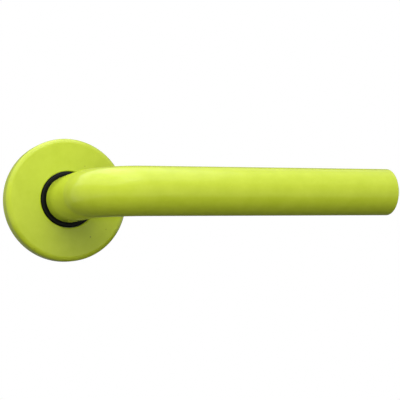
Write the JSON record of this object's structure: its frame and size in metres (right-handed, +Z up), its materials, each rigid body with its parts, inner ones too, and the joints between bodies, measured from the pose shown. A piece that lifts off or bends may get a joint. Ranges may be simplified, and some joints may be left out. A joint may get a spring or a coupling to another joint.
{
  "type": "lever door handle",
  "caption": "Round-bar lever door handle on a round rose with a hidden return spring; the lever turns down and springs back, and the rose cover pulls off along the neck.",
  "frame": {"origin": "on the turning axis, in the plane of the rose's back where it meets the door", "axes": "+Y into the door along the turning axis, -Y out towards the user, +X along the lever, +Z up"},
  "size_m": [0.1533, 0.108, 0.052],
  "materials": {
    "lime_paint": "gloss yellow-green powder coat with a faint orange peel",
    "black_nylon": "moulded black nylon, satin",
    "turned_steel": "turned or stamped steel, bare",
    "zinc_plated_steel": "bright zinc plate",
    "dark_steel": "phosphated spring steel, oiled",
    "cast_zinc": "die-cast zinc alloy, as cast"
  },
  "bodies": {
    "rose": {"mounting_plate": "cast_zinc", "locating_lugs": "zinc_plated_steel", "bearing_bush": "black_nylon", "rear_bush": "black_nylon", "stop_pins": "turned_steel", "return_spring": "dark_steel", "cassette_plate": "zinc_plated_steel", "cassette_screws": "zinc_plated_steel", "through_bolts": "zinc_plated_steel", "cover_snap_ring": "dark_steel"},
    "lever": {"lever_tube": "lime_paint", "lever_end_cap": "lime_paint", "neck_insert": "turned_steel", "grub_screw": "dark_steel", "spindle": "zinc_plated_steel", "spring_driver": "turned_steel", "spring_washer": "dark_steel", "thrust_washer": "turned_steel", "circlip": "dark_steel"},
    "cover": {"rose_cover": "lime_paint"}
  },
  "joints": [
    {"name": "lever_turn", "type": "hinge", "parent": "rose", "child": "lever", "pos_m": [0, 0, 0], "axis": [0, 1, 0], "range_deg": [0, 45], "stiffness_Nm_per_rad": 0.6, "springref_deg": -57.3, "deforming": ["return_spring"]},
    {"name": "cover_slide", "type": "slide", "parent": "rose", "child": "cover", "axis": [0, -1, 0], "range_m": [0, 0.02]}
  ]
}
